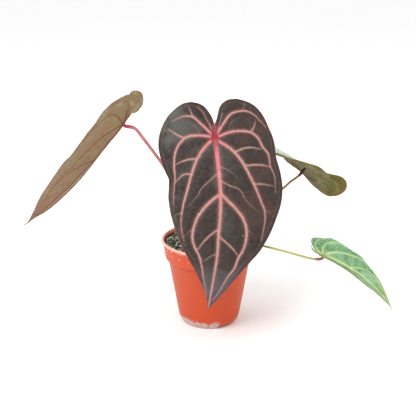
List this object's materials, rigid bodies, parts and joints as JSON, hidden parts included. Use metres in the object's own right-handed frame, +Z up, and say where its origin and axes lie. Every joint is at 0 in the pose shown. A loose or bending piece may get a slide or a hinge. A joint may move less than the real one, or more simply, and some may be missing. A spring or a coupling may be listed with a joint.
{
  "type": "potted anthurium",
  "caption": "Young velvet-leaf anthurium with heart-shaped veined leaves on thin stalks, in a round stepped nursery pot of chunky mix.",
  "frame": {"origin": "middle of the pot's underside, on the flat pad in the middle of its floor, at the height of the ground", "axes": "+Z up along the pot's axis, +X to the right and -Y towards the side that the front leaf's upper face looks at"},
  "size_m": [0.4502, 0.3222, 0.2942],
  "materials": {
    "pot_plastic": "satin",
    "potting_mix": "matte",
    "crown": "matte",
    "root": "matte",
    "papery_sheath": "matte",
    "front_blade": "matte",
    "left_blade": "matte",
    "upper_right_blade": "satin",
    "lower_right_blade": "satin",
    "pink_stalk": "satin",
    "yellow_stalk": "satin",
    "crimson_hinge": "satin",
    "brown_hinge": "satin"
  },
  "bodies": {
    "root": {"nursery_pot": "pot_plastic", "potting_mix": "potting_mix", "crown_stem": "crown", "root_1": "root", "root_2": "root", "root_3": "root", "root_4": "root", "sheath_1": "papery_sheath", "sheath_2": "papery_sheath", "sheath_3": "papery_sheath", "leaf_front": "front_blade", "stalk_front": "pink_stalk", "hinge_front": "crimson_hinge", "leaf_left": "left_blade", "stalk_left": "pink_stalk", "hinge_left": "crimson_hinge", "leaf_right_upper": "upper_right_blade", "stalk_right_upper": "yellow_stalk", "hinge_right_upper": "brown_hinge", "leaf_right_lower": "lower_right_blade", "stalk_right_lower": "yellow_stalk", "hinge_right_lower": "brown_hinge"}
  },
  "joints": []
}
